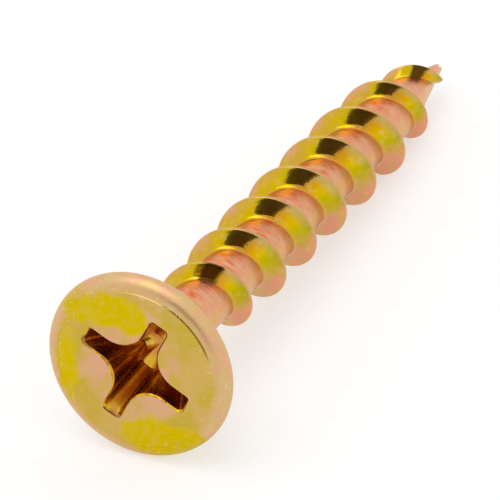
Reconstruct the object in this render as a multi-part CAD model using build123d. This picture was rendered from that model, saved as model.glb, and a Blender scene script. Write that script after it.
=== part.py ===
"""Countersunk wood screw with a cross recess and a coarse right-hand thread.

The real screw is one piece of steel. It is built here as four solids that meet face to
face: the head, the shank, the point, and the helical ridge of the thread that runs along
the shank and out over the point.

Frame: Y is the screw's axis. The head's flat face lies on Y = 0 with its centre at the
origin, the point is at +Y, and Z is up as the screw lies on its side.
Angles about the axis are measured from +Z towards +X, which is right-handed about +Y.
"""
import os
from math import cos, radians, sin, tan

from build123d import *

# ---- driving dimensions: millimetres and degrees ----
overall_length = 28.65

head_diameter = 8.1
rim_round = 0.5  # radius from the flat face over to the head's edge
rim_land = 0.2  # straight edge of the head, below the rounding
countersink_angle = 90.0  # included angle of the head's underside
neck_fillet = 1.5  # concave sweep from the underside to the neck
neck_collar = 0.15  # plain neck that belongs to the head
bare_neck = 0.52  # plain shank between the head and the start of the thread

shank_diameter = 2.32

recess_turn = 26.5  # how far the cross leans from the vertical
recess_depth = 2.7  # on the axis
recess_floor_rise = 0.35  # the floor is a shallow cone, this much higher at the wings' ends
wing_reach = 2.47  # from the axis to a wing's end, at the mouth
wing_width = 0.84  # at the mouth
wing_end_draft = 26.5  # slope of a wing's end wall from the axis
wing_side_draft = 2.0  # slope of a wing's side walls from the axis
recess_corner = 1.2  # rounding between two wings, at the mouth
recess_corner_deep = 0.4  # the same rounding, at the full depth

point_length = 4.45
point_end_diameter = 0.36
point_offset = 0.1  # the pinched end is a little off the axis
point_offset_turn = 127.7  # the side it leans to
notch_width = 0.16  # nick across the pinched end
notch_depth = 0.12

thread_diameter = 3.84
pitch = 2.87
thread_start_turn = 184.0  # angle about the axis where the ridge starts
lead_in_turns = 0.3  # the ridge rises steeply over this much of a turn
lead_in_height = 0.74  # share of its full height that it has by then
full_height_turns = 1.75  # turns from the start to the ridge's full height
least_height = 0.03  # of the ridge, where it starts
crest_width = 0.15
flank_angle = 28.0  # of each flank, from square to the axis
crest_taper_length = 7.85  # the last part of the screw, where the crest comes down
crest_end_radius = 0.42  # what the crest has come down to at the end of the point
run_out_turns = 0.58  # the last part of the ridge, where its lead opens out
run_out_gain = 2.4  # extra lead there, times the square of the turns run
thread_end_gap = 0.3  # the ridge's last section stands this far short of the end of the point

points_per_turn = 30

# ---- values that follow from them ----
head_radius = head_diameter / 2
shank_radius = shank_diameter / 2
thread_radius = thread_diameter / 2
point_end_radius = point_end_diameter / 2
underside_slope = radians(countersink_angle / 2)
underside_start = rim_round + rim_land
cone_to_neck = underside_start + (head_radius - shank_radius) / tan(underside_slope)
head_height = cone_to_neck + neck_fillet * tan(underside_slope / 2) + neck_collar
point_start = overall_length - point_length
thread_start = head_height + bare_neck
crest_taper_start = overall_length - crest_taper_length
# the turns that fill the thread's length, once the run-out's extra lead is taken off
thread_length = overall_length - thread_end_gap - thread_start
thread_turns = (thread_length - run_out_gain * run_out_turns ** 2) / pitch
run_out_from = thread_turns - run_out_turns


def around(angle, radius, y):
    """The position at an angle about the axis, at a radius and a distance along it."""
    return Vector(radius * sin(radians(angle)), y, radius * cos(radians(angle)))


def turned(corners):
    """A solid of revolution about the screw's axis, from (radius, distance) corners."""
    return revolve(make_face(Polyline(*corners, close=True)), axis=Axis.Y)


def make_head():
    """Flat face, rounded rim, countersunk underside with a swept neck, cross recess."""
    profile = make_face(Polyline(
        (0, 0), (head_radius, 0), (head_radius, underside_start),
        (shank_radius, cone_to_neck), (shank_radius, head_height), (0, head_height),
        close=True))
    rim = profile.vertices().sort_by_distance((head_radius, 0, 0))[0]
    profile = fillet(rim, rim_round)
    neck = profile.vertices().sort_by_distance((shank_radius, cone_to_neck, 0))[0]
    profile = fillet(neck, neck_fillet)
    return revolve(profile, axis=Axis.Y) - make_recess()


def cross_outline(depth, reach, width, corner):
    """The recess's outline at a depth: two crossed bars with rounded inner corners."""
    cross = Rectangle(2 * reach, width) + Rectangle(width, 2 * reach)
    inner = cross.vertices().sort_by_distance((0, 0, 0))[:4]
    level = Plane(origin=(0, depth, 0), x_dir=around(recess_turn, 1, 0), z_dir=(0, 1, 0))
    return level * fillet(inner, corner)


def make_recess():
    """The tool that leaves the cross recess: a drafted cross with a shallow cone floor."""
    end_reach = wing_reach - recess_depth * tan(radians(wing_end_draft))
    end_width = wing_width - 2 * recess_depth * tan(radians(wing_side_draft))
    mouth = cross_outline(0, wing_reach, wing_width, recess_corner)
    bottom = cross_outline(recess_depth, end_reach, end_width, recess_corner_deep)
    floor_edge = recess_depth - recess_floor_rise * wing_reach / end_reach
    floor = turned([(0, 0), (wing_reach, 0), (wing_reach, floor_edge), (0, recess_depth)])
    return loft([mouth.face(), bottom.face()]) & floor


def make_shank():
    """Plain round bar between the head and the point: the neck, then the core."""
    return turned([(0, head_height), (shank_radius, head_height),
                   (shank_radius, point_start), (0, point_start)])


def point_share(y):
    """How far along the point a distance lies: 0 where it starts, 1 at its end."""
    return max(0.0, (y - point_start) / point_length)


def core_radius(y):
    """Radius of the core at a distance along the axis."""
    return shank_radius + (point_end_radius - shank_radius) * point_share(y)


def core_centre(y):
    """Centre of the core: on the axis, and leaning off it along the point."""
    return around(point_offset_turn, point_offset * point_share(y), y)


def make_point():
    """Tapered point that leans a little to one side, with a nick across its blunt end."""
    base = Plane(origin=core_centre(point_start), z_dir=(0, 1, 0)) * Circle(shank_radius)
    end = Plane(origin=core_centre(overall_length), z_dir=(0, 1, 0)) * Circle(point_end_radius)
    nick = Box(shank_diameter, 2 * notch_depth, notch_width)
    nick = Location(core_centre(overall_length)) * Rot(0, point_offset_turn, 0) * nick
    return loft([base.face(), end.face()]) - nick


def ridge_distance(turns):
    """Distance along the axis after some turns; the lead opens out near the end."""
    return thread_start + pitch * turns + run_out_gain * max(0.0, turns - run_out_from) ** 2


def ridge_height(turns, y):
    """Height of the crest above the core: lead-in at the head, taper to the point."""
    steep = lead_in_height * min(1.0, turns / lead_in_turns)
    rest = (turns - lead_in_turns) / (full_height_turns - lead_in_turns)
    share = steep + (1 - lead_in_height) * min(1.0, max(0.0, rest))
    taper = max(0.0, (y - crest_taper_start) / crest_taper_length)
    crest = thread_radius - (thread_radius - crest_end_radius) * taper ** 2
    return max(least_height, share * (crest - core_radius(y)))


def ridge_section(turns):
    """The ridge's four corners after some turns: root, crest, crest and root again.

    Both root corners lie on the core, each at its own distance along the axis.
    """
    y = ridge_distance(turns)
    angle = thread_start_turn + 360 * turns
    height = ridge_height(turns, y)
    half_crest = crest_width / 2
    half_root = half_crest + height * tan(radians(flank_angle))
    corners = [(-half_root, 0), (-half_crest, height), (half_crest, height), (half_root, 0)]
    return [core_centre(y + along) + around(angle, core_radius(y + along) + rise, 0)
            for along, rise in corners]


def make_thread():
    """The helical ridge: four ruled faces between four long edges, closed at both ends."""
    steps = round(points_per_turn * thread_turns)
    sections = [ridge_section(thread_turns * i / steps) for i in range(steps + 1)]
    edges = [Edge.make_spline(list(line)) for line in zip(*sections)]
    faces = [Face.make_surface_from_curves(edges[i - 1], edges[i]) for i in range(4)]
    for a, b, c, d in (sections[0], sections[-1]):
        faces.append(Face.make_surface_from_curves(Edge.make_line(a, d), Edge.make_line(b, c)))
    return Solid(Shell(faces))


def write_nodes():
    """Write each node to its own file."""
    os.makedirs("parts", exist_ok=True)
    nodes = {"head": make_head(), "shank": make_shank(), "point": make_point(),
             "thread": make_thread()}
    for name, solid in nodes.items():
        export_step(solid, f"parts/{name}.step")
        print(f"{name}: {solid.volume:.2f} mm3")


write_nodes()
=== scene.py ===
# %% [markdown]
# # A yellow-plated wood screw
#
# The real thing is one piece of steel wire. Its head and cross recess are struck cold, its
# thread is rolled between flat dies, its point is pinched, and the whole screw is zinc plated
# and dipped in a yellow chromate. This lesson builds it as its four regions, the head, the
# shank, the point and the thread, on a fixed CAD frame that gives every size and place.

# %% Load the frame
from math import atan2, cos, pi, radians, sin, tan

import bmesh
import bpy
from mathutils import Matrix, Vector


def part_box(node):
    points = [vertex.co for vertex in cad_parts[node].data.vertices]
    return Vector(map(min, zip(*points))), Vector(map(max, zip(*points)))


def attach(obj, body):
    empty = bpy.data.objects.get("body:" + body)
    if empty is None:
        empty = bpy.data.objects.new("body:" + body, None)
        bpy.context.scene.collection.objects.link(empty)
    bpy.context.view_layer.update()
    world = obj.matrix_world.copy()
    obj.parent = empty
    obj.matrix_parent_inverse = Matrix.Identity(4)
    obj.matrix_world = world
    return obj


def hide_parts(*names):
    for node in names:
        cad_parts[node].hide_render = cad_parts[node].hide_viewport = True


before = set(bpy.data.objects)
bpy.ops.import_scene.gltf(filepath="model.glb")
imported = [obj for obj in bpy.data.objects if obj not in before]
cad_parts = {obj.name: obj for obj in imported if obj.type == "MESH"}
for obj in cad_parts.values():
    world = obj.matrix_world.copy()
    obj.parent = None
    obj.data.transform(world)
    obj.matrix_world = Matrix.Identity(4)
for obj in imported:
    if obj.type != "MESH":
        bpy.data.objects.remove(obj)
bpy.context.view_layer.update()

MM = 0.001
scene = bpy.context.scene

# %% [markdown]
# ## Sizes
#
# The screw's axis is Y: the flat face of the head lies on Y = 0 and the point is at +Y. The
# CAD nodes give the main sizes, so the meshes keep to them. Only sizes that the boxes can't
# tell, such as the pitch or the width of a crest, are named in this script.

# %% Read the sizes from the CAD boxes, in millimetres
def high_corner(node):
    """Highest corner of a CAD node's box, in millimetres."""
    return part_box(node)[1] / MM


HEAD_R, HEAD_END = high_corner("head").x, high_corner("head").y
SHANK_R, POINT_START = high_corner("shank").x, high_corner("shank").y
LENGTH = high_corner("point").y
CREST_R = high_corner("thread").x
PITCH = 2.87
print("head", round(HEAD_R * 2, 2), "shank", round(SHANK_R * 2, 2), "length", round(LENGTH, 2))

# %% [markdown]
# ## Camera
#
# The screw is seen from in front of its head, from above and from its right, with a long
# lens. A long lens from far off keeps the turns of the thread nearly the same size, where a
# short one would swell the head. The camera is placed by a heading and a height from a point
# just above the screw's axis, and looks straight at that point.

# %% Place the camera
CAMERA_HEADING = 25.9
CAMERA_HEIGHT = 29.3
CAMERA_DISTANCE = 326.1
LENS = 576.0
AIM_SHARE = 0.366
AIM_ABOVE = 0.19


def direction(heading, height):
    """Unit vector that leans from -Y towards +X by heading and up by height, in degrees."""
    flat = cos(radians(height))
    return Vector((sin(radians(heading)) * flat, -cos(radians(heading)) * flat,
                   sin(radians(height))))


to_camera = direction(CAMERA_HEADING, CAMERA_HEIGHT)
aim = Vector((0, AIM_SHARE * LENGTH, AIM_ABOVE))
camera = bpy.data.objects.new("camera", bpy.data.cameras.new("camera"))
scene.collection.objects.link(camera)
camera.location = (aim + to_camera * CAMERA_DISTANCE) * MM
camera.rotation_euler = to_camera.to_track_quat("Z", "Y").to_euler()
camera.data.lens = LENS
camera.data.clip_start, camera.data.clip_end = 10 * MM, 5000 * MM
scene.camera = camera
print("camera at", [round(c / MM) for c in camera.location], "mm")

# %% [markdown]
# ## Modelling helpers
#
# Every region is round, so each starts as a short row of joined vertices in a plane through
# the axis: its profile. Corners are rounded while the profile is still flat, and then it is
# spun. Places are given as a distance along the axis and a radius, in millimetres, and the
# finished mesh is scaled to metres once, at the end.

# %% Profiles and spins
ROUND_STEPS = 144
AXIS = Vector((0, 1, 0))


def profile(bm, corners, closed=False):
    """A row of joined vertices from (distance along the axis, radius) corners."""
    verts = [bm.verts.new((0, y, r)) for y, r in corners]
    for a, b in zip(verts, verts[1:] + verts[:1] if closed else verts[1:]):
        bm.edges.new((a, b))
    return verts


def round_corner(bm, verts, reach, segments):
    """Round corners of a flat profile; reach is how far each rounding runs from its corner."""
    bmesh.ops.bevel(bm, geom=verts, offset=reach, offset_type="OFFSET", segments=segments,
                    profile=0.5, affect="VERTICES", material=-1)


def spin_round(bm):
    """Spin the whole profile once round the axis."""
    bmesh.ops.spin(bm, geom=bm.verts[:] + bm.edges[:], cent=(0, 0, 0), axis=AXIS,
                   angle=2 * pi, steps=ROUND_STEPS, use_merge=True)
    bmesh.ops.remove_doubles(bm, verts=bm.verts, dist=1e-5)


print("a full spin takes", ROUND_STEPS, "steps, each", 360 / ROUND_STEPS, "degrees")

# %% [markdown]
# ### Finishing a mesh
#
# A spin can leave a mesh inside out. Recalculating the normals makes them agree with each
# other, and the sign of the volume then tells whether they agree on the outside: an
# inside-out mesh has a volume below zero. Only sharp corners are shaded as edges.

# %% Finished pieces
SHARP = 38


def piece(name, bm, node):
    """Finish a mesh: faces out, soft shading with sharp corners, metres, name and body."""
    bmesh.ops.recalc_face_normals(bm, faces=bm.faces)
    if bm.calc_volume(signed=True) < 0:
        bmesh.ops.reverse_faces(bm, faces=bm.faces)
    for face in bm.faces:
        face.smooth = True
    for edge in bm.edges:
        edge.smooth = edge.smooth and edge.calc_face_angle(0) < radians(SHARP)
    volume = bm.calc_volume()
    bm.transform(Matrix.Scale(MM, 4))
    mesh = bpy.data.meshes.new(name)
    bm.to_mesh(mesh)
    bm.free()
    obj = bpy.data.objects.new(name, mesh)
    scene.collection.objects.link(obj)
    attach(obj, "root")
    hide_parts(node)
    print(name, len(mesh.polygons), "faces,", round(volume, 1), "mm3")
    return obj


print("corners sharper than", SHARP, "degrees are shaded as edges")

# %% [markdown]
# ## The head
#
# The head is struck from the wire's end between a die and a punch. The die leaves the flat
# face, a tiny step round it, the soft edge and the cone underneath. All of that is round, so
# it is one spun profile.

# %% Outside of the head
RIM_ROUND = 0.56
RIM_LAND_END, LAND_ROUND = 0.7, 0.1
NECK_FILLET_REACH = 0.62
FACE_R = 3.44
STEP = 0.035
cone_to_neck = RIM_LAND_END + HEAD_R - SHANK_R

head_bm = bmesh.new()
corners = profile(head_bm, [(0, FACE_R), (STEP, FACE_R + STEP), (STEP, HEAD_R),
                            (RIM_LAND_END, HEAD_R), (cone_to_neck, SHANK_R),
                            (HEAD_END, SHANK_R)])
round_corner(head_bm, [corners[2]], RIM_ROUND, 14)
round_corner(head_bm, [corners[3]], LAND_ROUND, 4)
round_corner(head_bm, [corners[4]], NECK_FILLET_REACH, 12)
spin_round(head_bm)
neck_ring = [e for e in head_bm.edges if e.is_boundary and e.verts[0].co.y > cone_to_neck]
bmesh.ops.holes_fill(head_bm, edges=neck_ring, sides=0)
print("outside of the head:", len(head_bm.faces), "faces")

# %% [markdown]
# ### The cross recess
#
# The punch leaves a cross: four wings with sloping ends, joined by wide rounded corners. That
# is a stack of cross-shaped outlines, each a little smaller than the one above, bridged
# together. A boolean cut would give the same hole, but it leaves a ragged edge that can't be
# rounded. One outline comes from a circle of twelve vertices, one for each corner of a cross:
# each vertex is pushed out to a wing's end or in to its side, whichever it is nearer.

# %% Outline of the cross
RECESS_TURN = 26.5
RECESS_DEPTH = 2.7
FLOOR_RISE = 0.35
WING_REACH, WING_HALF_WIDTH, WING_CORNER = 2.47, 0.4, 0.2
WING_END_SLOPE, WING_SIDE_SLOPE = tan(radians(26.5)), tan(radians(2.0))
CORNER_AT_MOUTH, CORNER_AT_FLOOR = 1.2, 0.45
NEAR_WING_END = 0.9


def cross_outline(bm, depth, flare):
    """One outline of the cross at a depth, wider by flare, as a ring of edges."""
    reach = WING_REACH - depth * WING_END_SLOPE + flare
    half = WING_HALF_WIDTH - depth * WING_SIDE_SLOPE + flare
    corner = CORNER_AT_MOUTH + (CORNER_AT_FLOOR - CORNER_AT_MOUTH) * depth / RECESS_DEPTH
    before = set(bm.verts)
    ring = bmesh.ops.create_circle(bm, segments=12, radius=1,
                                   matrix=Matrix.Rotation(radians(15), 4, "Z"))["verts"]
    for vert in ring:
        for i in (0, 1):
            size = reach if abs(vert.co[i]) > NEAR_WING_END else half
            vert.co[i] = size if vert.co[i] > 0 else -size
    ring.sort(key=lambda vert: vert.co.length)
    inner, outer = ring[:4], ring[4:]
    round_corner(bm, inner, corner, 12)
    round_corner(bm, [v for v in outer if v.is_valid], WING_CORNER, 5)
    made = [v for v in bm.verts if v not in before]
    turn = Matrix.Rotation(radians(RECESS_TURN), 3, "Y") @ Matrix.Rotation(radians(90), 3, "X")
    for vert in made:
        vert.co = turn @ vert.co + AXIS * depth
    return list({e for v in made for e in v.link_edges})


print("the cross is", 2 * WING_REACH, "mm across its wings at the mouth")

# %% [markdown]
# ### Walls and floor of the recess
#
# The first few outlines lie close together and flare outwards, which rounds the mouth's edge
# as the punch did. The rest go straight down the drafted walls. One face closes the lowest
# outline, and a poke gives it the shallow cone that the punch's tip leaves. The faces made
# here take the head's second finish.

# %% Walls and floor of the recess
MOUTH_EDGE = 0.055
EDGE_STEPS, WALL_STEPS = 4, 6
floor_depth = RECESS_DEPTH - FLOOR_RISE
edge_end = 2 * MOUTH_EDGE

levels = [(edge_end * i / EDGE_STEPS, MOUTH_EDGE * (1 - i / EDGE_STEPS) ** 2)
          for i in range(EDGE_STEPS)]
levels += [(edge_end + (floor_depth - edge_end) * i / WALL_STEPS, 0)
           for i in range(WALL_STEPS + 1)]
outside = set(head_bm.faces)
rings = [cross_outline(head_bm, depth, flare) for depth, flare in levels]
for upper, lower in zip(rings, rings[1:]):
    bmesh.ops.bridge_loops(head_bm, edges=upper + lower)
recess_floor = bmesh.ops.contextual_create(head_bm, geom=rings[-1])["faces"]
peak = bmesh.ops.poke(head_bm, faces=recess_floor)["verts"][0]
peak.co.y = RECESS_DEPTH
for face in head_bm.faces:
    face.material_index = 0 if face in outside else 1
print("recess faces:", sum(face.material_index for face in head_bm.faces))

# %% [markdown]
# ### The flat face
#
# The face is a flat sheet with two edges, the rim outside and the recess's mouth inside, so
# one fill closes it. Both edges are kept sharp: with soft shading across them, the long thin
# triangles of the fill would show as wedges on a face that is really flat.

# %% Flat face between the rim and the recess
ON_FACE = 1e-6
face_edges = [e for e in head_bm.edges if e.is_boundary and abs(e.verts[0].co.y) < ON_FACE]
bmesh.ops.triangle_fill(head_bm, edges=face_edges, use_beauty=True, use_dissolve=False)
for edge in face_edges:
    edge.smooth = False
head = piece("head", head_bm, "head")

# %% [markdown]
# ## The neck and core
#
# Between the turns of the thread the screw is its plain core. On the real one the core is
# the drawn wire, a little waved by the rolling dies that press the thread out of it. It is
# a spun profile with a ring every third of a millimetre, and each vertex then moves in by a
# few microns to give that wave, which fades out over a millimetre at both ends.

# %% Shank
SHANK_RING_GAP = 0.3
ROLLING_WAVE = 0.008
WAVES_PER_PITCH, WAVES_ROUND = 3, 2


def close_ends(bm):
    """Fill every open ring, so that the piece is a closed solid."""
    bmesh.ops.holes_fill(bm, edges=[e for e in bm.edges if e.is_boundary], sides=0)


def turn_angle(co):
    """Angle of a place about the screw's axis, in turns: 0 at +Z, growing towards +X."""
    return (atan2(co.x, co.z) / (2 * pi)) % 1


def roll_wave(co):
    """How far the dies left the core proud at a place, in millimetres."""
    waves = WAVES_PER_PITCH * co.y / PITCH + WAVES_ROUND * turn_angle(co)
    return ROLLING_WAVE * sin(2 * pi * waves)


shank_bm = bmesh.new()
shank_rings = round((POINT_START - HEAD_END) / SHANK_RING_GAP)
profile(shank_bm, [(HEAD_END + (POINT_START - HEAD_END) * i / shank_rings, SHANK_R)
                   for i in range(shank_rings + 1)])
spin_round(shank_bm)
for vert in shank_bm.verts:
    fade = min(vert.co.y - HEAD_END, POINT_START - vert.co.y, 1)
    radial = Vector((vert.co.x, 0, vert.co.z)).normalized()
    vert.co += radial * (roll_wave(vert.co) - ROLLING_WAVE) * fade
close_ends(shank_bm)
shank = piece("shank", shank_bm, "shank")

# %% [markdown]
# ## The point
#
# The point is pinched off between two cutting dies. That leaves a blunt end a little to one
# side of the axis, with a nick across it. The profile runs from the core to the blunt end,
# and after the spin the rings are slid sideways, more and more towards the end.

# %% Point
POINT_LEAN = 0.1
LEAN_TURN = radians(127.7)
POINT_RINGS = 24
POINT_END_R, END_ROUND = 0.18, 0.05
NICK_DEPTH, NICK_WIDTH, NICK_REACH = 0.12, 0.16, 0.2
lean_side = Vector((sin(LEAN_TURN), 0, cos(LEAN_TURN)))


def point_share(y):
    """How far along the point a distance lies: 0 where it starts, 1 at its end."""
    return max(0, (y - POINT_START) / (LENGTH - POINT_START))


def core_radius(y):
    """Radius of the core at a distance along the axis."""
    return SHANK_R + (POINT_END_R - SHANK_R) * point_share(y)


point_bm = bmesh.new()
distances = [POINT_START + (LENGTH - POINT_START) * i / POINT_RINGS
             for i in range(POINT_RINGS + 1)]
corners = profile(point_bm, [(y, core_radius(y)) for y in distances]
                  + [(LENGTH, POINT_END_R * share) for share in (0.8, 0.6, 0.4, 0.2)])
round_corner(point_bm, [corners[POINT_RINGS]], END_ROUND, 4)
spin_round(point_bm)
close_ends(point_bm)
for vert in point_bm.verts:
    across = vert.co.dot(lean_side)
    deep = max(0, 1 - (2 * across / NICK_WIDTH) ** 2)
    near_end = max(0, (vert.co.y - LENGTH + NICK_REACH) / NICK_REACH)
    vert.co += lean_side * POINT_LEAN * point_share(vert.co.y)
    vert.co.y -= NICK_DEPTH * deep * near_end
point = piece("point", point_bm, "point")

# %% [markdown]
# ## The thread
#
# Rolling dies press the thread out of the core as one helical ridge. Its section is drawn
# once, with the soft root and the narrow crest that dies leave. The section reaches a little
# under the core's surface, so that no gap shows along the root.

# %% Thread section
CREST_HALF = 0.075
FLANK_SLOPE = tan(radians(28))
ROOT_REACH, CREST_REACH = 0.16, 0.035
ROOT_SHARE = 0.95
SUNK, UNDERSIDE = 0.006, 0.1
FLANK_CUTS = 7
full_height = CREST_R - SHANK_R
root_half = CREST_HALF + full_height * FLANK_SLOPE
foot_half = root_half + ROOT_REACH

thread_bm = bmesh.new()
half = [(foot_half, -UNDERSIDE), (foot_half, -SUNK), (root_half, -SUNK),
        (CREST_HALF, full_height)]
corners = profile(thread_bm, half + [(-y, z) for y, z in reversed(half)], closed=True)
round_corner(thread_bm, [corners[2], corners[5]], ROOT_REACH * ROOT_SHARE, 8)
round_corner(thread_bm, [corners[3], corners[4]], CREST_REACH, 4)
flanks = [e for e in thread_bm.edges
          if abs(e.verts[0].co.z - e.verts[1].co.z) > full_height / 2]
bmesh.ops.subdivide_edges(thread_bm, edges=flanks, cuts=FLANK_CUTS)
print("thread section:", len(thread_bm.verts), "vertices,", round(2 * foot_half, 2), "mm wide")

# %% [markdown]
# ### The rules of the ridge
#
# Real thread isn't even from end to end: it rises over the first turns, comes down with the
# point, and opens its lead at the end. Two rules say so, and each is a function of how many
# turns the ridge has made: how far along the axis it is, and how high its crest stands.

# %% Rise, taper and lead of the ridge
THREAD_START = HEAD_END + 0.52
START_TURN = 184 / 360
LEAST_HEIGHT = 0.03
LEAD_IN_TURNS, LEAD_IN_SHARE, FULL_TURNS = 0.3, 0.74, 1.75
TAPER_LENGTH, CREST_END_R = 7.85, 0.42
RUN_OUT_TURNS, RUN_OUT_GAIN = 0.58, 2.4
END_GAP = 0.3
turns = (LENGTH - END_GAP - THREAD_START - RUN_OUT_GAIN * RUN_OUT_TURNS ** 2) / PITCH


def ridge_distance(t):
    """Distance along the axis after some turns; the lead opens out near the end."""
    return THREAD_START + PITCH * t + RUN_OUT_GAIN * max(0, t - turns + RUN_OUT_TURNS) ** 2


def ridge_height(t, y):
    """Height of the crest above the core: lead-in at the head, taper to the point."""
    rest = min(1, max(0, (t - LEAD_IN_TURNS) / (FULL_TURNS - LEAD_IN_TURNS)))
    share = LEAD_IN_SHARE * min(1, t / LEAD_IN_TURNS) + (1 - LEAD_IN_SHARE) * rest
    taper = max(0, 1 - (LENGTH - y) / TAPER_LENGTH)
    crest = CREST_R - (CREST_R - CREST_END_R) * taper ** 2
    return max(LEAST_HEIGHT, share * (crest - core_radius(y)))


print("the ridge makes", round(turns, 2), "turns")

# %% [markdown]
# ### Winding the thread
#
# A helix is a spin that also moves along its axis at every step, which is what spin's dvec is
# for. The section is spun at an even pitch first, and every vertex is then moved to where the
# rules have its own turn, which keeps the mesh in neat rows. A layer called ridge keeps how
# far round, across and up the ridge each vertex is, for the finish.

# %% Spin the section and move each vertex to its turn
STEPS_PER_TURN = 60
steps = round(turns * STEPS_PER_TURN)
for vert in thread_bm.verts:
    vert.co.z += SHANK_R
bmesh.ops.spin(thread_bm, geom=thread_bm.verts[:] + thread_bm.edges[:], cent=(0, 0, 0),
               axis=AXIS, dvec=AXIS * PITCH * turns / steps, angle=2 * pi * turns,
               steps=steps, use_merge=False)
close_ends(thread_bm)
ridge = thread_bm.verts.layers.float_vector.new("ridge")
for vert in thread_bm.verts:
    part_turn = turn_angle(vert.co)
    t = part_turn + round(vert.co.y / PITCH - part_turn)
    across = vert.co.y - PITCH * t
    rise = Vector((vert.co.x, 0, vert.co.z)).length - SHANK_R
    y = ridge_distance(t)
    scale = ridge_height(t, y) / full_height
    y += across * scale
    angle = 2 * pi * (t + START_TURN)
    lean = lean_side * POINT_LEAN * point_share(y)
    height = rise * scale if rise > 0 else rise
    radial = Vector((sin(angle), 0, cos(angle)))
    vert.co = radial * (core_radius(y) + height) + lean + AXIS * y
    vert[ridge] = (t, across / root_half, rise / full_height)
print("thread:", len(thread_bm.faces), "faces in", steps, "steps")

# %% [markdown]
# ### The ridge's end
#
# The ridge stops at a slanted face a little short of the point's end, as if the dies that
# pinch the point had sheared it. The slant and the cut's place are chosen. A plane
# cuts the ridge there and a flat face closes it, which leaves the blunt end of the real one
# where the plain helix would run out to a thin blade.

# %% Shear the end of the ridge
SHEAR_SLANT = radians(56)
SHEAR_BACK = 0.42
shear_side = AXIS * cos(SHEAR_SLANT) + lean_side * sin(SHEAR_SLANT)
all_thread = thread_bm.verts[:] + thread_bm.edges[:] + thread_bm.faces[:]
bmesh.ops.bisect_plane(thread_bm, geom=all_thread, plane_co=AXIS * (LENGTH - SHEAR_BACK),
                       plane_no=shear_side, clear_outer=True)
close_ends(thread_bm)
thread = piece("thread", thread_bm, "thread")

# %% [markdown]
# ## The finish: yellow chromate over bright zinc
#
# All four regions came out of the same bath. The steel is zinc plated, a bright smooth metal,
# and then dipped in a yellow chromate, which leaves a clear film less than a thousandth of a
# millimetre thick. Light from its two sides interferes, so its colour changes with its
# thickness, between gold, yellow-green and pink. A thin-film shader would change the colour
# with the angle too, but its colours are hard to steer. Here the film is metal whose colour
# changes in patches, so the patches stay in place from every side.

# %% Colour and nodes
def film(code):
    """Linear colour from an sRGB hex code, for a colour socket."""
    channels = [int(code[i:i + 2], 16) / 255 for i in (1, 3, 5)]
    return [c / 12.92 if c <= 0.04045 else ((c + 0.055) / 1.055) ** 2.4
            for c in channels] + [1]


def add(tree, kind, inputs, stops=(), **settings):
    """Add a node with its settings. Inputs are values, hex colours or sockets to link.

    Stops are a colour ramp's (position, hex colour) pairs. The answer is the first output
    that the settings leave in use.
    """
    node = tree.nodes.new("ShaderNode" + kind)
    for name, value in settings.items():
        setattr(node, name, value)
    for socket, value in inputs.items():
        if isinstance(value, bpy.types.NodeSocket):
            tree.links.new(value, node.inputs[socket])
        else:
            node.inputs[socket].default_value = film(value) if isinstance(value, str) else value
    if stops:
        elements = node.color_ramp.elements
        elements[0].position, elements[1].position = stops[0][0], stops[-1][0]
        for position, _ in stops[1:-1]:
            elements.new(position)
        for element, (_, code) in zip(elements, stops):
            element.color = film(code)
    return next(output for output in node.outputs if output.enabled)


print("film colours are linear, such as", [round(c, 3) for c in film("#d0b800")])

# %% [markdown]
# ### Patches of film
#
# Each finish is a base colour with layers over it, and each layer has a share between 0 and 1
# that says where it lies. Most shares are patches: soft noise of a real size in millimetres.
# The seed moves the noise, so that two layers don't lie in the same places.

# %% Plated metal and its patches
def plated(name, roughness):
    """A new plated metal: its node tree, its shader and its place in millimetres."""
    material = bpy.data.materials.new(name)
    material.use_nodes = True
    tree = material.node_tree
    shader = tree.nodes["Principled BSDF"]
    shader.inputs["Metallic"].default_value = 1
    shader.inputs["Roughness"].default_value = roughness
    coordinates = add(tree, "TexCoord", {}).node.outputs["Object"]
    place = add(tree, "VectorMath", {0: coordinates, "Scale": 1 / MM}, operation="SCALE")
    return material, tree, shader, place


def patches(tree, place, size, low, high, detail=3, seed=0):
    """Soft patches of a size in millimetres: 0 where the noise is below low, 1 above high."""
    moved = add(tree, "VectorMath", {0: place, 1: (seed, 2 * seed, 3 * seed)}, operation="ADD")
    noise = add(tree, "TexNoise", {"Vector": moved, "Scale": 1 / size, "Detail": detail})
    return add(tree, "MapRange", {"Value": noise, "From Min": low, "From Max": high},
               interpolation_type="SMOOTHSTEP")


print("each finish is a plated metal with patches of film over it")

# %% [markdown]
# ### Sides of the screw
#
# The film isn't the same on every side, so its colours also change from side to side. A side
# share runs from the screw's upper left to its lower right, and a drift keeps the border
# between two colours from looking ruled.

# %% Drift and sides
SIDE_TURN = radians(127.7)
SIDE_DRIFT_SIZE = 0.91


def drift(tree, place, size, detail, wobble):
    """A smooth wander either side of 0, in waves of a size in millimetres."""
    noise = add(tree, "TexNoise", {"Vector": place, "Scale": 1 / size, "Detail": detail})
    centred = add(tree, "Math", {0: noise, 1: 0.5}, operation="SUBTRACT")
    return add(tree, "Math", {0: centred, 1: wobble}, operation="MULTIPLY")


def toward(tree, place, turn):
    """How nearly a place lies towards a turn about the axis: 1 along it, -1 against it."""
    unit = add(tree, "VectorMath", {0: place}, operation="NORMALIZE")
    return add(tree, "VectorMath", {0: unit, 1: (sin(turn), 0, cos(turn))},
               operation="DOT_PRODUCT")


def side_share(tree, place, wobble):
    """Which side of the axis a place is on: 0 high on the left, 1 low on the right."""
    flat = add(tree, "VectorMath", {0: place, 1: (1, 0, 1)}, operation="MULTIPLY")
    share = add(tree, "MapRange", {"Value": toward(tree, flat, SIDE_TURN), "From Min": -1.0})
    wander = drift(tree, place, SIDE_DRIFT_SIZE, 2.0, wobble)
    return add(tree, "Math", {0: share, 1: wander}, operation="ADD")


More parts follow.
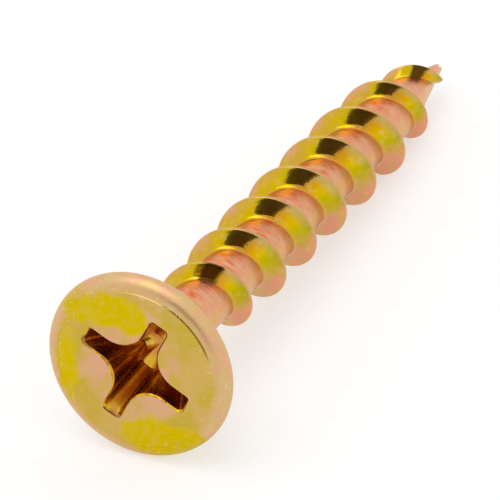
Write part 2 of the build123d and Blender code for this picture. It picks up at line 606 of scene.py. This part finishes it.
print("the side share drifts in waves of", SIDE_DRIFT_SIZE, "mm")

# %% [markdown]
# ### Yellow chromate on the struck head
#
# The die pressed the face smooth, so its film lies in wide patches: clear yellow in three
# large drops, pink round the recess and khaki between. The rim has rubbed on other screws in
# the box, which leaves it duller and finely scratched. Its paler colour is partly that wear and
# partly a painted highlight on the rim's rounding.

# %% Drops and scratches on the face
DROP_DRIFT_SIZE = 1.11
SCRATCH_TURNS = ((0.3, 0.7, 0.2), (1.1, -0.6, 0.9))
SCRATCHES_PER_MM = ((2.0, 9.0, 14.0), (13.0, 8.0, 1.8))


def thin_drop(tree, place, centre, size):
    """Where the film ran thin in one wide drop: centre and half sizes in millimetres."""
    moved = add(tree, "VectorMath", {0: place, 1: centre}, operation="SUBTRACT")
    scaled = add(tree, "VectorMath", {0: moved, 1: [1 / s for s in size]}, operation="MULTIPLY")
    length = add(tree, "VectorMath", {0: scaled}, operation="LENGTH")
    wander = drift(tree, place, DROP_DRIFT_SIZE, 4.0, 1.7)
    from_centre = add(tree, "Math", {0: length, 1: wander}, operation="ADD")
    return add(tree, "MapRange", {"Value": from_centre, "From Min": 1.15, "From Max": 0.7},
               interpolation_type="SMOOTHSTEP")


def rubbed(tree, place):
    """Short fine scratches that run in two directions, as a share."""
    lines = []
    for turn, per_mm in zip(SCRATCH_TURNS, SCRATCHES_PER_MM):
        turned = add(tree, "Mapping", {"Vector": place, "Rotation": turn, "Scale": per_mm})
        noise = add(tree, "TexNoise", {"Vector": turned, "Scale": 1.0, "Detail": 3.0})
        lines.append(add(tree, "MapRange", {"Value": noise, "From Min": 0.62, "From Max": 0.72}))
    return add(tree, "Math", {0: lines[0], 1: lines[1]}, operation="MAXIMUM")


print("scratches to a millimetre:", SCRATCHES_PER_MM)

# %% [markdown]
# The layers are listed from the bottom up. Most depend on the radius: pink lies near the
# recess and the rim's pale colours, partly wear and partly painted highlight, begin just inside
# the step.

# %% Layers of the face and rim
FACE_ROUGHNESS, RIM_ROUGHNESS = 0.24, 0.4
DROPS = (((-1.1, 0, 2.35), (2.2, 5, 0.8)), ((1.3, 0, -2.95), (2.0, 5, 1.05)),
         ((-3.0, 0, -0.2), (0.5, 5, 1.9)))
face_metal, tree, shader, place = plated("yellow chromate on the struck head", FACE_ROUGHNESS)
flat = add(tree, "VectorMath", {0: place, 1: (1, 0, 1)}, operation="MULTIPLY")
radius = add(tree, "VectorMath", {0: flat}, operation="LENGTH")
near_recess = add(tree, "MapRange", {"Value": radius, "From Min": 2.6, "From Max": 1.6})
pink = add(tree, "Math", {0: near_recess, 1: patches(tree, place, 0.8, 0.35, 0.6, seed=7)},
           operation="MULTIPLY")
rim = add(tree, "MapRange", {"Value": radius, "From Min": 3.35, "From Max": 3.75},
          interpolation_type="SMOOTHSTEP")
rim_patches = patches(tree, place, 0.6, 0.38, 0.66, detail=5, seed=9)
# The rim's pale beige and pink are partly wear and partly a painted highlight.
rim_wear_and_highlight = add(tree, "Mix", {0: rim_patches, 6: "#d8b87c", 7: "#e2ac84"}, data_type="RGBA")
layers = [(patches(tree, place, 1.6, 0.4, 0.62), "#ceac5a"),
          (patches(tree, place, 1.9, 0.52, 0.68, detail=5, seed=4), "#d8aa7e"),
          (pink, "#dca482"), (rim, rim_wear_and_highlight)]
layers += [(thin_drop(tree, place, centre, size), "#d2b500") for centre, size in DROPS]
print("face and rim:", len(layers), "layers of film")

# %% [markdown]
# Three thin layers go on top: a fine mottle all over, a painted dark line of shade in the step
# at the upper right, and the scratches, which are bright because they reach the zinc.

# %% Mottle, painted shade in the step, and scratches
MOTTLE_SHARE, STEP_SHADE_SHARE, SCRATCH_SHARE = 0.15, 0.8, 0.5
# The dark line in the step is painted shade, placed by this turn and radius.
STEP_SHADE_TURN = radians(45)
STEP_SHADE_R = FACE_R + 0.04
mottle = patches(tree, place, 0.3, 0.45, 0.75, detail=4, seed=2)
faint_mottle = add(tree, "Math", {0: mottle, 1: MOTTLE_SHARE}, operation="MULTIPLY")
upper_right = add(tree, "MapRange", {"Value": toward(tree, place, STEP_SHADE_TURN),
                                     "From Min": 0.9, "From Max": 0.96})
from_step = add(tree, "Math", {0: radius, 1: STEP_SHADE_R}, operation="SUBTRACT")
from_step = add(tree, "Math", {0: from_step}, operation="ABSOLUTE")
in_step = add(tree, "MapRange", {"Value": from_step, "From Min": 0.05, "From Max": 0.02,
                                 "To Max": STEP_SHADE_SHARE})
# Painted shade: a dark line drawn in the step, only at the upper right.
painted_step_shade = add(tree, "Math", {0: upper_right, 1: in_step}, operation="MULTIPLY")
outwards = add(tree, "MapRange", {"Value": radius, "From Min": 2.9, "From Max": 3.6,
                                  "To Min": 0.05 * SCRATCH_SHARE, "To Max": SCRATCH_SHARE})
scratches = add(tree, "Math", {0: rubbed(tree, place), 1: outwards}, operation="MULTIPLY")
# The dark brown layer is the painted shade in the step.
layers += [(faint_mottle, "#dcb488"), (painted_step_shade, "#5a4010"), (scratches, "#f0dcb4")]

colour = film("#c6a93c")
for share, over in layers:
    colour = add(tree, "Mix", {0: share, 6: colour, 7: over}, data_type="RGBA")
tree.links.new(colour, shader.inputs["Base Color"])
height = add(tree, "Math", {0: mottle, 1: scratches}, operation="ADD")
bump = add(tree, "Bump", {"Height": height, "Strength": 0.035, "Distance": 0.02 * MM})
tree.links.new(bump, shader.inputs["Normal"])
dull = add(tree, "MapRange", {"Value": radius, "From Min": 3.5, "From Max": 3.62,
                              "To Min": FACE_ROUGHNESS, "To Max": RIM_ROUGHNESS})
tree.links.new(dull, shader.inputs["Roughness"])
print(face_metal.name, "has", len(tree.nodes), "nodes")

# %% [markdown]
# ### Thick chromate in the recess
#
# The bath drains slowly from the recess, so its film is thick and dark: brown, with gold
# where the punch burnished the walls. The walls also mirror each other, which deepens the
# colour at every bounce, so the colours here are paler than the recess looks.

# %% Plated recess
recess_metal, tree, shader, place = plated("thick chromate in the recess", 0.2)
depth = add(tree, "SeparateXYZ", {0: place}).node.outputs["Y"]
mouth = add(tree, "MapRange", {"Value": depth, "From Min": 0.35, "From Max": 0.1})
mouth_patches = patches(tree, place, 0.45, 0.42, 0.58, seed=13)
mouth_colour = add(tree, "Mix", {0: mouth_patches, 6: "#d4ac20", 7: "#a8703c"},
                   data_type="RGBA")
colour = film("#d08e4a")
for share, over in ((patches(tree, place, 0.9, 0.42, 0.62), "#d8b038"),
                    (patches(tree, place, 0.4, 0.55, 0.75, seed=3), "#e0c830"),
                    (mouth, mouth_colour)):
    colour = add(tree, "Mix", {0: share, 6: colour, 7: over}, data_type="RGBA")
tree.links.new(colour, shader.inputs["Base Color"])
print(recess_metal.name, "has", len(tree.nodes), "nodes")

# %% [markdown]
# ### Pink chromate on the core
#
# Between the turns the film pooled: salmon pink, with paler beige streaks round the core,
# rusty ones high on the left, and gold towards the lower side, where it ran off as it dried.

# %% Plated core
core_metal, tree, shader, place = plated("pink chromate on the core", 0.28)
side = side_share(tree, place, 0.3)
colour = add(tree, "ValToRGB", {0: side},
             stops=[(0.05, "#e68c60"), (0.3, "#e8946e"), (0.5, "#e4a07c"),
                    (0.7, "#e49c74"), (0.88, "#dcaa58"), (1.0, "#dc9a60")])
streaked = add(tree, "Mapping", {"Vector": place, "Scale": (1.0, 2.6, 1.0)})
upper = add(tree, "MapRange", {"Value": side, "From Min": 0.75, "From Max": 0.35})
rusty = patches(tree, streaked, 0.6, 0.48, 0.7, detail=4, seed=5)
rust = add(tree, "Math", {0: rusty, 1: upper}, operation="MULTIPLY")
for share, over in ((patches(tree, streaked, 0.5, 0.42, 0.7, detail=5), "#dcb08a"),
                    (rust, "#e06a2c")):
    colour = add(tree, "Mix", {0: share, 6: colour, 7: over}, data_type="RGBA")
tree.links.new(colour, shader.inputs["Base Color"])
mottle = patches(tree, place, 0.14, 0.3, 0.8, detail=2, seed=2)
bump = add(tree, "Bump", {"Height": mottle, "Strength": 0.15, "Distance": 0.02 * MM})
tree.links.new(bump, shader.inputs["Normal"])
print(core_metal.name, "has", len(tree.nodes), "nodes")

# %% [markdown]
# ### Yellow chromate on the rolled flanks
#
# The flanks are the brightest metal on the screw, burnished by the rolling dies. Their film
# is yellow along the root and turns khaki and pink towards the crest. The ridge attribute
# tells each place's turns, its share across and its share up, so the colours follow the
# thread round. One ramp gives the colours low on the flank, and another those near the crest.

# %% Colours along and up the ridge
thread_metal, tree, shader, place = plated("yellow chromate on the rolled flanks", 0.13)
ridge_place = add(tree, "Attribute", {}, attribute_name="ridge").node.outputs["Vector"]
round_turns, across, rise = add(tree, "SeparateXYZ", {0: ridge_place}).node.outputs
side = side_share(tree, place, 0.22)
low_colour = add(tree, "ValToRGB", {0: side},
                 stops=[(0.0, "#cfa438"), (0.05, "#d2b000"), (0.15, "#d0b200"),
                        (0.24, "#c08c34"), (0.36, "#c48a28"), (0.5, "#d6a000"),
                        (0.62, "#d8b400"), (0.74, "#beb000"), (0.88, "#c4a82c"),
                        (0.97, "#e29c7a")])
high_colour = add(tree, "ValToRGB", {0: side},
                  stops=[(0.0, "#dea47c"), (0.04, "#d2a644"), (0.14, "#c8b000"),
                         (0.24, "#be9040"), (0.36, "#be9440"), (0.48, "#c4a862"),
                         (0.66, "#bca24e"), (0.77, "#aca01c"), (0.87, "#d89a68"),
                         (0.96, "#e49c7c")])
near_crest = add(tree, "MapRange", {"Value": rise, "From Min": 0.4, "From Max": 1.0},
                 interpolation_type="SMOOTHSTEP")
worn = patches(tree, place, 0.35, 0.5, 0.8, detail=4, seed=6)
worn = add(tree, "Math", {0: worn, 1: 0.6}, operation="MULTIPLY")
lower_side = add(tree, "MapRange", {"Value": side, "From Min": 0.8, "From Max": 0.88,
                                    "To Max": 0.7})
run_off = patches(tree, place, 0.5, 0.45, 0.65, detail=5, seed=11)
run_off = add(tree, "Math", {0: run_off, 1: lower_side}, operation="MULTIPLY")
crest = add(tree, "MapRange", {"Value": rise, "From Min": 0.95, "From Max": 1.0, "To Max": 0.7})
root = add(tree, "MapRange", {"Value": rise, "From Min": 0.07, "From Max": 0.0})
layers = [(near_crest, high_colour), (worn, "#d8bc6c"), (run_off, "#ccae5c"),
          (crest, "#cfa070"), (root, "#d69a3c")]
print("flanks:", len(layers), "layers of film")

# %% [markdown]
# ### Painted reflection and die marks
#
# The middle turns are dark high on the left of their front flank, where they mirror the black
# card. On the first and last turn the same dark is painted into the base colour in dark brown,
# a painted reflection of the card. The flanks' mottle and ripple stand for the marks of the
# dies, a few microns deep.

# %% Painted card reflection on the first and last turn, and the marks of the dies
first = add(tree, "MapRange", {"Value": round_turns, "From Min": 0.72, "From Max": 0.66})
last = add(tree, "MapRange", {"Value": round_turns,
                              "From Min": turns - 0.75, "From Max": turns - 0.7})
front = add(tree, "MapRange", {"Value": across, "From Min": 0.1, "From Max": 0.0})
left = add(tree, "MapRange", {"Value": side, "From Min": 0.15, "From Max": 0.2})
right = add(tree, "MapRange", {"Value": side, "From Min": 0.44, "From Max": 0.38})
# This share is a painted reflection: the black card's dark, high on the left of the front flank.
thick = add(tree, "Math", {0: first, 1: last}, operation="MAXIMUM")
for limit in (front, left, right):
    thick = add(tree, "Math", {0: thick, 1: limit}, operation="MULTIPLY")
# Dark brown of the painted card reflection on the first and last turn.
layers.append((thick, "#5a3c10"))

colour = low_colour
for share, over in layers:
    colour = add(tree, "Mix", {0: share, 6: colour, 7: over}, data_type="RGBA")
tree.links.new(colour, shader.inputs["Base Color"])
mottle = patches(tree, place, 0.12, 0.3, 0.8, detail=2, seed=2)
ripple = patches(tree, place, 0.35, 0.2, 0.8, detail=4, seed=8)
ripple = add(tree, "Math", {0: ripple, 1: 3.0}, operation="MULTIPLY")
height = add(tree, "Math", {0: mottle, 1: ripple}, operation="ADD")
bump = add(tree, "Bump", {"Height": height, "Strength": 0.08, "Distance": 0.01 * MM})
tree.links.new(bump, shader.inputs["Normal"])
print(thread_metal.name, "has", len(tree.nodes), "nodes")

# %% [markdown]
# ### Finishes on the pieces
#
# The shank and the point share the core's finish, because no edge divides them on the real
# screw. The head has two finishes: its recess faces were given the second when they were made.

# %% Give each piece its finish
for obj, metals in ((head, (face_metal, recess_metal)), (shank, (core_metal,)),
                    (point, (core_metal,)), (thread, (thread_metal,))):
    for metal in metals:
        obj.data.materials.append(metal)
    print(obj.name, "has", [metal.name for metal in metals])

# %% [markdown]
# ## Stage
#
# The floor and a black card are flat sheets that aren't part of the screw, so one helper makes
# both. Another tells what a ray is for, because a stage may look brighter than it lights.

# %% Stage helpers
def stage_material(name):
    """A new stage material with an empty node tree and its output."""
    material = bpy.data.materials.new(name)
    material.use_nodes = True
    tree = material.node_tree
    tree.nodes.clear()
    return material, tree, tree.nodes.new("ShaderNodeOutputMaterial").inputs["Surface"]


def looked_at(tree):
    """1 for rays from the camera and its mirror images, 0 for light on its way round."""
    rays = add(tree, "LightPath", {}).node.outputs
    mirrored = add(tree, "Math", {0: rays["Is Glossy Ray"], 1: rays["Is Transmission Ray"]},
                   operation="MAXIMUM")
    return add(tree, "Math", {0: rays["Is Camera Ray"], 1: mirrored}, operation="MAXIMUM")


def stage_sheet(name, size, place, material):
    """A flat square sheet that isn't part of the screw, put in its place by a matrix."""
    bm = bmesh.new()
    bmesh.ops.create_grid(bm, x_segments=1, y_segments=1, size=size / 2 * MM, matrix=place)
    mesh = bpy.data.meshes.new(name)
    bm.to_mesh(mesh)
    bm.free()
    mesh.materials.append(material)
    sheet = bpy.data.objects.new(name, mesh)
    scene.collection.objects.link(sheet)
    print(name, "at", [round(c / MM) for c in place.translation], "mm")
    return sheet


print("the stage is made of sheets that aren't part of the screw")

# %% [markdown]
# ### Floor
#
# The screw lies on its side on white paper, on the rim of its head and the crest of its
# thread, so the paper leans a little against the screw's axis. Paper is a plain diffuse
# surface. It glows a little, but only for the camera and in reflections, so it looks white
# and still takes the screw's shadow.

# %% Floor
FLOOR_SIZE = 800
FLOOR_TOUCH_HEAD = Vector((0, 0.6, -HEAD_R))
FLOOR_TOUCH_THREAD = Vector((0, 20.5, -CREST_R))
PAPER_GLOW = 0.5
paper, tree, surface = stage_material("white paper")
glow = add(tree, "Math", {0: looked_at(tree), 1: PAPER_GLOW}, operation="MULTIPLY")
diffuse = add(tree, "BsdfDiffuse", {"Color": "#dddddd"})
emission = add(tree, "Emission", {"Color": "#ffffff", "Strength": glow})
tree.links.new(add(tree, "AddShader", {0: diffuse, 1: emission}), surface)

along = FLOOR_TOUCH_THREAD - FLOOR_TOUCH_HEAD
tilt = Matrix.Rotation(atan2(along.z, along.y), 4, "X")
stage_sheet("floor", FLOOR_SIZE, Matrix.Translation(FLOOR_TOUCH_HEAD * MM) @ tilt, paper)

# %% [markdown]
# ### White room
#
# Polished metal shows what is round it, so the room is white all over where the metal looks
# at it. It lights the screw at a lower strength, and the rest of the light comes from a lamp.

# %% World
ROOM_LIGHT, ROOM_SEEN = 0.6, 1.0
world = bpy.data.worlds.new("white room")
world.use_nodes = True
scene.world = world
tree = world.node_tree
background = tree.nodes["Background"]
strength = add(tree, "MapRange", {"Value": looked_at(tree), "To Min": ROOM_LIGHT,
                                  "To Max": ROOM_SEEN})
background.inputs["Color"].default_value = film("#ffffff")
tree.links.new(strength, background.inputs["Strength"])
scene.view_settings.view_transform = "Standard"
print("the room lights at", ROOM_LIGHT, "and shows at", ROOM_SEEN)

# %% [markdown]
# ### Black card
#
# Without something dark to mirror, the flanks would have no contrast and the thread would
# look like plastic. So a black card stands in front of the screw, as in a studio. It shows
# only in the metal: it is hidden from the camera, blocks no light and casts no shadow.

# %% Black card
CARD_SIDE = Vector((0.21, -0.92, 0.33)).normalized()
CARD_DISTANCE, CARD_ROLL = 300, radians(-42)
CARD_WIDTH, CARD_HEIGHT = 190, 135
black, tree, surface = stage_material("black card")
tree.links.new(add(tree, "Emission", {"Color": "#544c42", "Strength": 1.0}), surface)
facing = CARD_SIDE.to_track_quat("Z", "Y").to_matrix().to_4x4()
card_place = (Matrix.Translation((aim + CARD_SIDE * CARD_DISTANCE) * MM) @ facing
              @ Matrix.Rotation(CARD_ROLL, 4, "Z")
              @ Matrix.Diagonal((CARD_WIDTH, CARD_HEIGHT, 1, 1)))
card = stage_sheet("black card", 1, card_place, black)
card.visible_camera = card.visible_diffuse = card.visible_shadow = False

# %% [markdown]
# ### Lamp
#
# One large square lamp overhead gives the soft shadow under the screw. The larger a lamp is
# against its distance, the softer its shadow.

# %% Overhead lamp
LAMP_SIDE = direction(-30, 70)
LAMP_DISTANCE, LAMP_SIZE, LAMP_POWER = 400, 300, 0.25
lamp = bpy.data.lights.new("overhead", "AREA")
lamp.size = LAMP_SIZE * MM
lamp.energy = LAMP_POWER
lamp_object = bpy.data.objects.new("overhead", lamp)
lamp_object.location = (aim + LAMP_SIDE * LAMP_DISTANCE) * MM
lamp_object.rotation_euler = LAMP_SIDE.to_track_quat("Z", "Y").to_euler()
scene.collection.objects.link(lamp_object)
print("lit by a white room and one overhead lamp of", LAMP_POWER, "watts")
